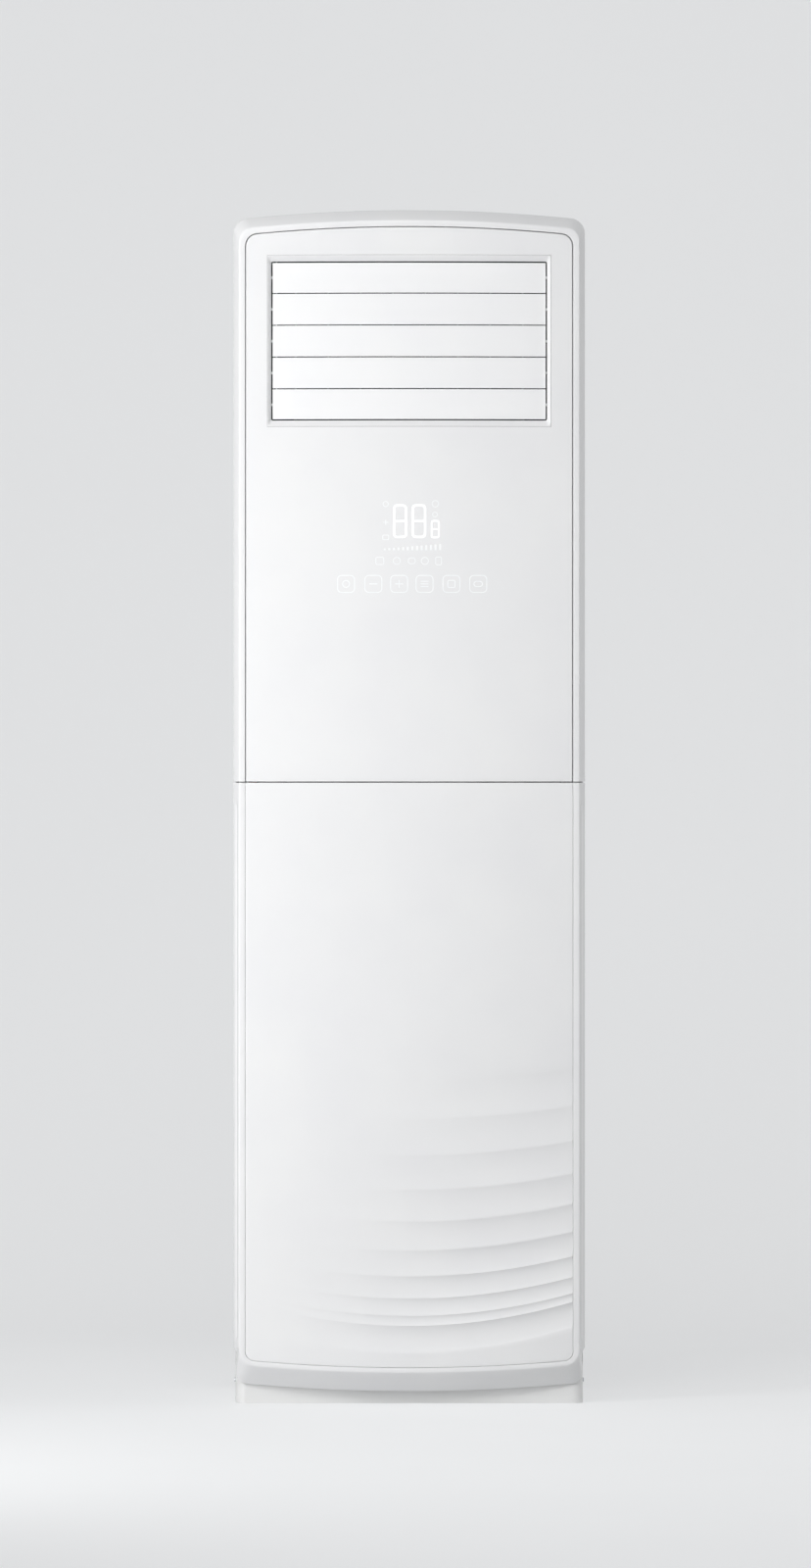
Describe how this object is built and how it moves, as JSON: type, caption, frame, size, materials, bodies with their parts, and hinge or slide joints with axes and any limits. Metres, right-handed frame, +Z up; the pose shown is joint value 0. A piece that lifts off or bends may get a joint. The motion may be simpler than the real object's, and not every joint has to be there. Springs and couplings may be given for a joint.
{
  "type": "floor standing air conditioner",
  "caption": "Tall narrow cabinet air conditioner with a bowed fluted front, a louvred outlet at the top, side intake grilles, and the blower, coil and electrics inside.",
  "frame": {"origin": "middle of the bounding box, at its foot, on the floor under the plinth", "axes": "+Z up; the bowed front faces -Y and the rear panel and its wall bracket face +Y; +X is to the right as seen from the front"},
  "size_m": [0.54, 0.4, 1.83],
  "materials": {
    "gloss_cover": "glossy moulded white",
    "louvre_plastic": "satin moulded white",
    "painted_sheet": "white powder coat",
    "zinc_sheet": "galvanised",
    "fin_aluminium": "mill",
    "tube_copper": "drawn copper",
    "nut_brass": "turned",
    "grey_plastic": "moulded",
    "dark_plastic": "moulded",
    "foam": "moulded bead foam",
    "board": "coated laminate",
    "net": "woven net in a moulded frame"
  },
  "bodies": {
    "cabinet": {"base_pan": "painted_sheet", "lower_frame": "gloss_cover", "upper_frame": "gloss_cover", "lower_panel": "gloss_cover", "upper_panel": "gloss_cover", "top_cover": "painted_sheet", "right_side_panel": "painted_sheet", "left_side_panel": "painted_sheet", "rear_panel": "painted_sheet", "wall_bracket": "zinc_sheet", "partition_shelf": "zinc_sheet", "louvre_frame": "gloss_cover", "louvre_motor": "zinc_sheet", "vane_rail_lower": "grey_plastic", "vane_rail_upper": "grey_plastic", "vane_motor": "zinc_sheet", "discharge_duct": "foam", "evaporator_fins": "fin_aluminium", "evaporator_right_plate": "zinc_sheet", "evaporator_left_plate": "zinc_sheet", "gas_pipe": "tube_copper", "liquid_pipe": "tube_copper", "gas_flare_nut": "nut_brass", "liquid_flare_nut": "nut_brass", "drain_pan": "dark_plastic", "blower_housing": "dark_plastic", "inlet_ring": "dark_plastic", "fan_motor": "zinc_sheet", "motor_bracket": "zinc_sheet", "control_box": "zinc_sheet", "control_box_cover": "zinc_sheet", "control_board": "board", "terminal_block": "dark_plastic", "capacitor": "grey_plastic", "display_board": "board"},
    "right_cassette": {"right_intake_grille": "louvre_plastic", "right_filter": "net"},
    "left_cassette": {"left_intake_grille": "louvre_plastic", "left_filter": "net"},
    "louvre_1": {"louvre_blade_1": "louvre_plastic"},
    "louvre_2": {"louvre_blade_2": "louvre_plastic"},
    "louvre_3": {"louvre_blade_3": "louvre_plastic"},
    "louvre_4": {"louvre_blade_4": "louvre_plastic"},
    "louvre_5": {"louvre_blade_5": "louvre_plastic"},
    "louvre_bar": {"louvre_link": "grey_plastic"},
    "vane_body_1": {"vane_1": "grey_plastic"},
    "vane_body_2": {"vane_2": "grey_plastic"},
    "vane_body_3": {"vane_3": "grey_plastic"},
    "vane_body_4": {"vane_4": "grey_plastic"},
    "vane_body_5": {"vane_5": "grey_plastic"},
    "vane_body_6": {"vane_6": "grey_plastic"},
    "vane_body_7": {"vane_7": "grey_plastic"},
    "vane_body_8": {"vane_8": "grey_plastic"},
    "vane_bar": {"vane_link": "grey_plastic"},
    "rotor": {"blower_wheel": "dark_plastic", "wheel_nut": "zinc_sheet", "motor_shaft": "zinc_sheet"}
  },
  "joints": [
    {"name": "louvre_3_swing", "type": "hinge", "parent": "cabinet", "child": "louvre_3", "pos_m": [0, -0.17739, 1.62925], "axis": [-1, 0, 0], "range_deg": [0, 80]},
    {"name": "louvre_1_swing", "type": "hinge", "parent": "cabinet", "child": "louvre_1", "pos_m": [0, -0.17739, 1.72673], "axis": [-1, 0, 0], "range_deg": [0, 80]},
    {"name": "louvre_2_swing", "type": "hinge", "parent": "cabinet", "child": "louvre_2", "pos_m": [0, -0.17739, 1.67799], "axis": [-1, 0, 0], "range_deg": [0, 80]},
    {"name": "louvre_4_swing", "type": "hinge", "parent": "cabinet", "child": "louvre_4", "pos_m": [0, -0.17739, 1.58051], "axis": [-1, 0, 0], "range_deg": [0, 80]},
    {"name": "louvre_5_swing", "type": "hinge", "parent": "cabinet", "child": "louvre_5", "pos_m": [0, -0.17739, 1.53177], "axis": [-1, 0, 0], "range_deg": [0, 80]},
    {"name": "louvre_bar_pivot", "type": "hinge", "parent": "louvre_3", "child": "louvre_bar", "pos_m": [-0.2063, -0.17039, 1.65575], "axis": [-1, 0, 0], "range_deg": [-80, 0]},
    {"name": "vane_1_swing", "type": "hinge", "parent": "cabinet", "child": "vane_body_1", "pos_m": [-0.175, -0.114, 1.5077], "axis": [0, 0, 1], "range_deg": [-40, 40]},
    {"name": "vane_2_swing", "type": "hinge", "parent": "cabinet", "child": "vane_body_2", "pos_m": [-0.125, -0.114, 1.5077], "axis": [0, 0, 1], "range_deg": [-40, 40]},
    {"name": "vane_3_swing", "type": "hinge", "parent": "cabinet", "child": "vane_body_3", "pos_m": [-0.075, -0.114, 1.5077], "axis": [0, 0, 1], "range_deg": [-40, 40]},
    {"name": "vane_4_swing", "type": "hinge", "parent": "cabinet", "child": "vane_body_4", "pos_m": [-0.025, -0.114, 1.5077], "axis": [0, 0, 1], "range_deg": [-40, 40]},
    {"name": "vane_5_swing", "type": "hinge", "parent": "cabinet", "child": "vane_body_5", "pos_m": [0.025, -0.114, 1.5077], "axis": [0, 0, 1], "range_deg": [-40, 40]},
    {"name": "vane_6_swing", "type": "hinge", "parent": "cabinet", "child": "vane_body_6", "pos_m": [0.075, -0.114, 1.5077], "axis": [0, 0, 1], "range_deg": [-40, 40]},
    {"name": "vane_7_swing", "type": "hinge", "parent": "cabinet", "child": "vane_body_7", "pos_m": [0.125, -0.114, 1.5077], "axis": [0, 0, 1], "range_deg": [-40, 40]},
    {"name": "vane_8_swing", "type": "hinge", "parent": "cabinet", "child": "vane_body_8", "pos_m": [0.175, -0.114, 1.5077], "axis": [0, 0, 1], "range_deg": [-40, 40]},
    {"name": "vane_bar_pivot", "type": "hinge", "parent": "vane_body_1", "child": "vane_bar", "pos_m": [-0.175, -0.096, 1.5107], "axis": [0, 0, 1], "range_deg": [-40, 40]},
    {"name": "rotor_spin", "type": "hinge", "parent": "cabinet", "child": "rotor", "pos_m": [0, 0, 0.44], "axis": [0, 1, 0], "continuous": true},
    {"name": "right_cassette_pull", "type": "slide", "parent": "cabinet", "child": "right_cassette", "axis": [1, 0, 0], "range_m": [0, 0.04]},
    {"name": "left_cassette_pull", "type": "slide", "parent": "cabinet", "child": "left_cassette", "axis": [-1, 0, 0], "range_m": [0, 0.04]}
  ],
  "couplings": [
    {"joint": "louvre_1_swing", "follows": "louvre_3_swing", "ratio": 1},
    {"joint": "louvre_2_swing", "follows": "louvre_3_swing", "ratio": 1},
    {"joint": "louvre_4_swing", "follows": "louvre_3_swing", "ratio": 1},
    {"joint": "louvre_5_swing", "follows": "louvre_3_swing", "ratio": 1},
    {"joint": "louvre_bar_pivot", "follows": "louvre_3_swing", "ratio": -1},
    {"joint": "vane_2_swing", "follows": "vane_1_swing", "ratio": 1},
    {"joint": "vane_3_swing", "follows": "vane_1_swing", "ratio": 1},
    {"joint": "vane_4_swing", "follows": "vane_1_swing", "ratio": 1},
    {"joint": "vane_5_swing", "follows": "vane_1_swing", "ratio": 1},
    {"joint": "vane_6_swing", "follows": "vane_1_swing", "ratio": 1},
    {"joint": "vane_7_swing", "follows": "vane_1_swing", "ratio": 1},
    {"joint": "vane_8_swing", "follows": "vane_1_swing", "ratio": 1},
    {"joint": "vane_bar_pivot", "follows": "vane_1_swing", "ratio": -1}
  ]
}
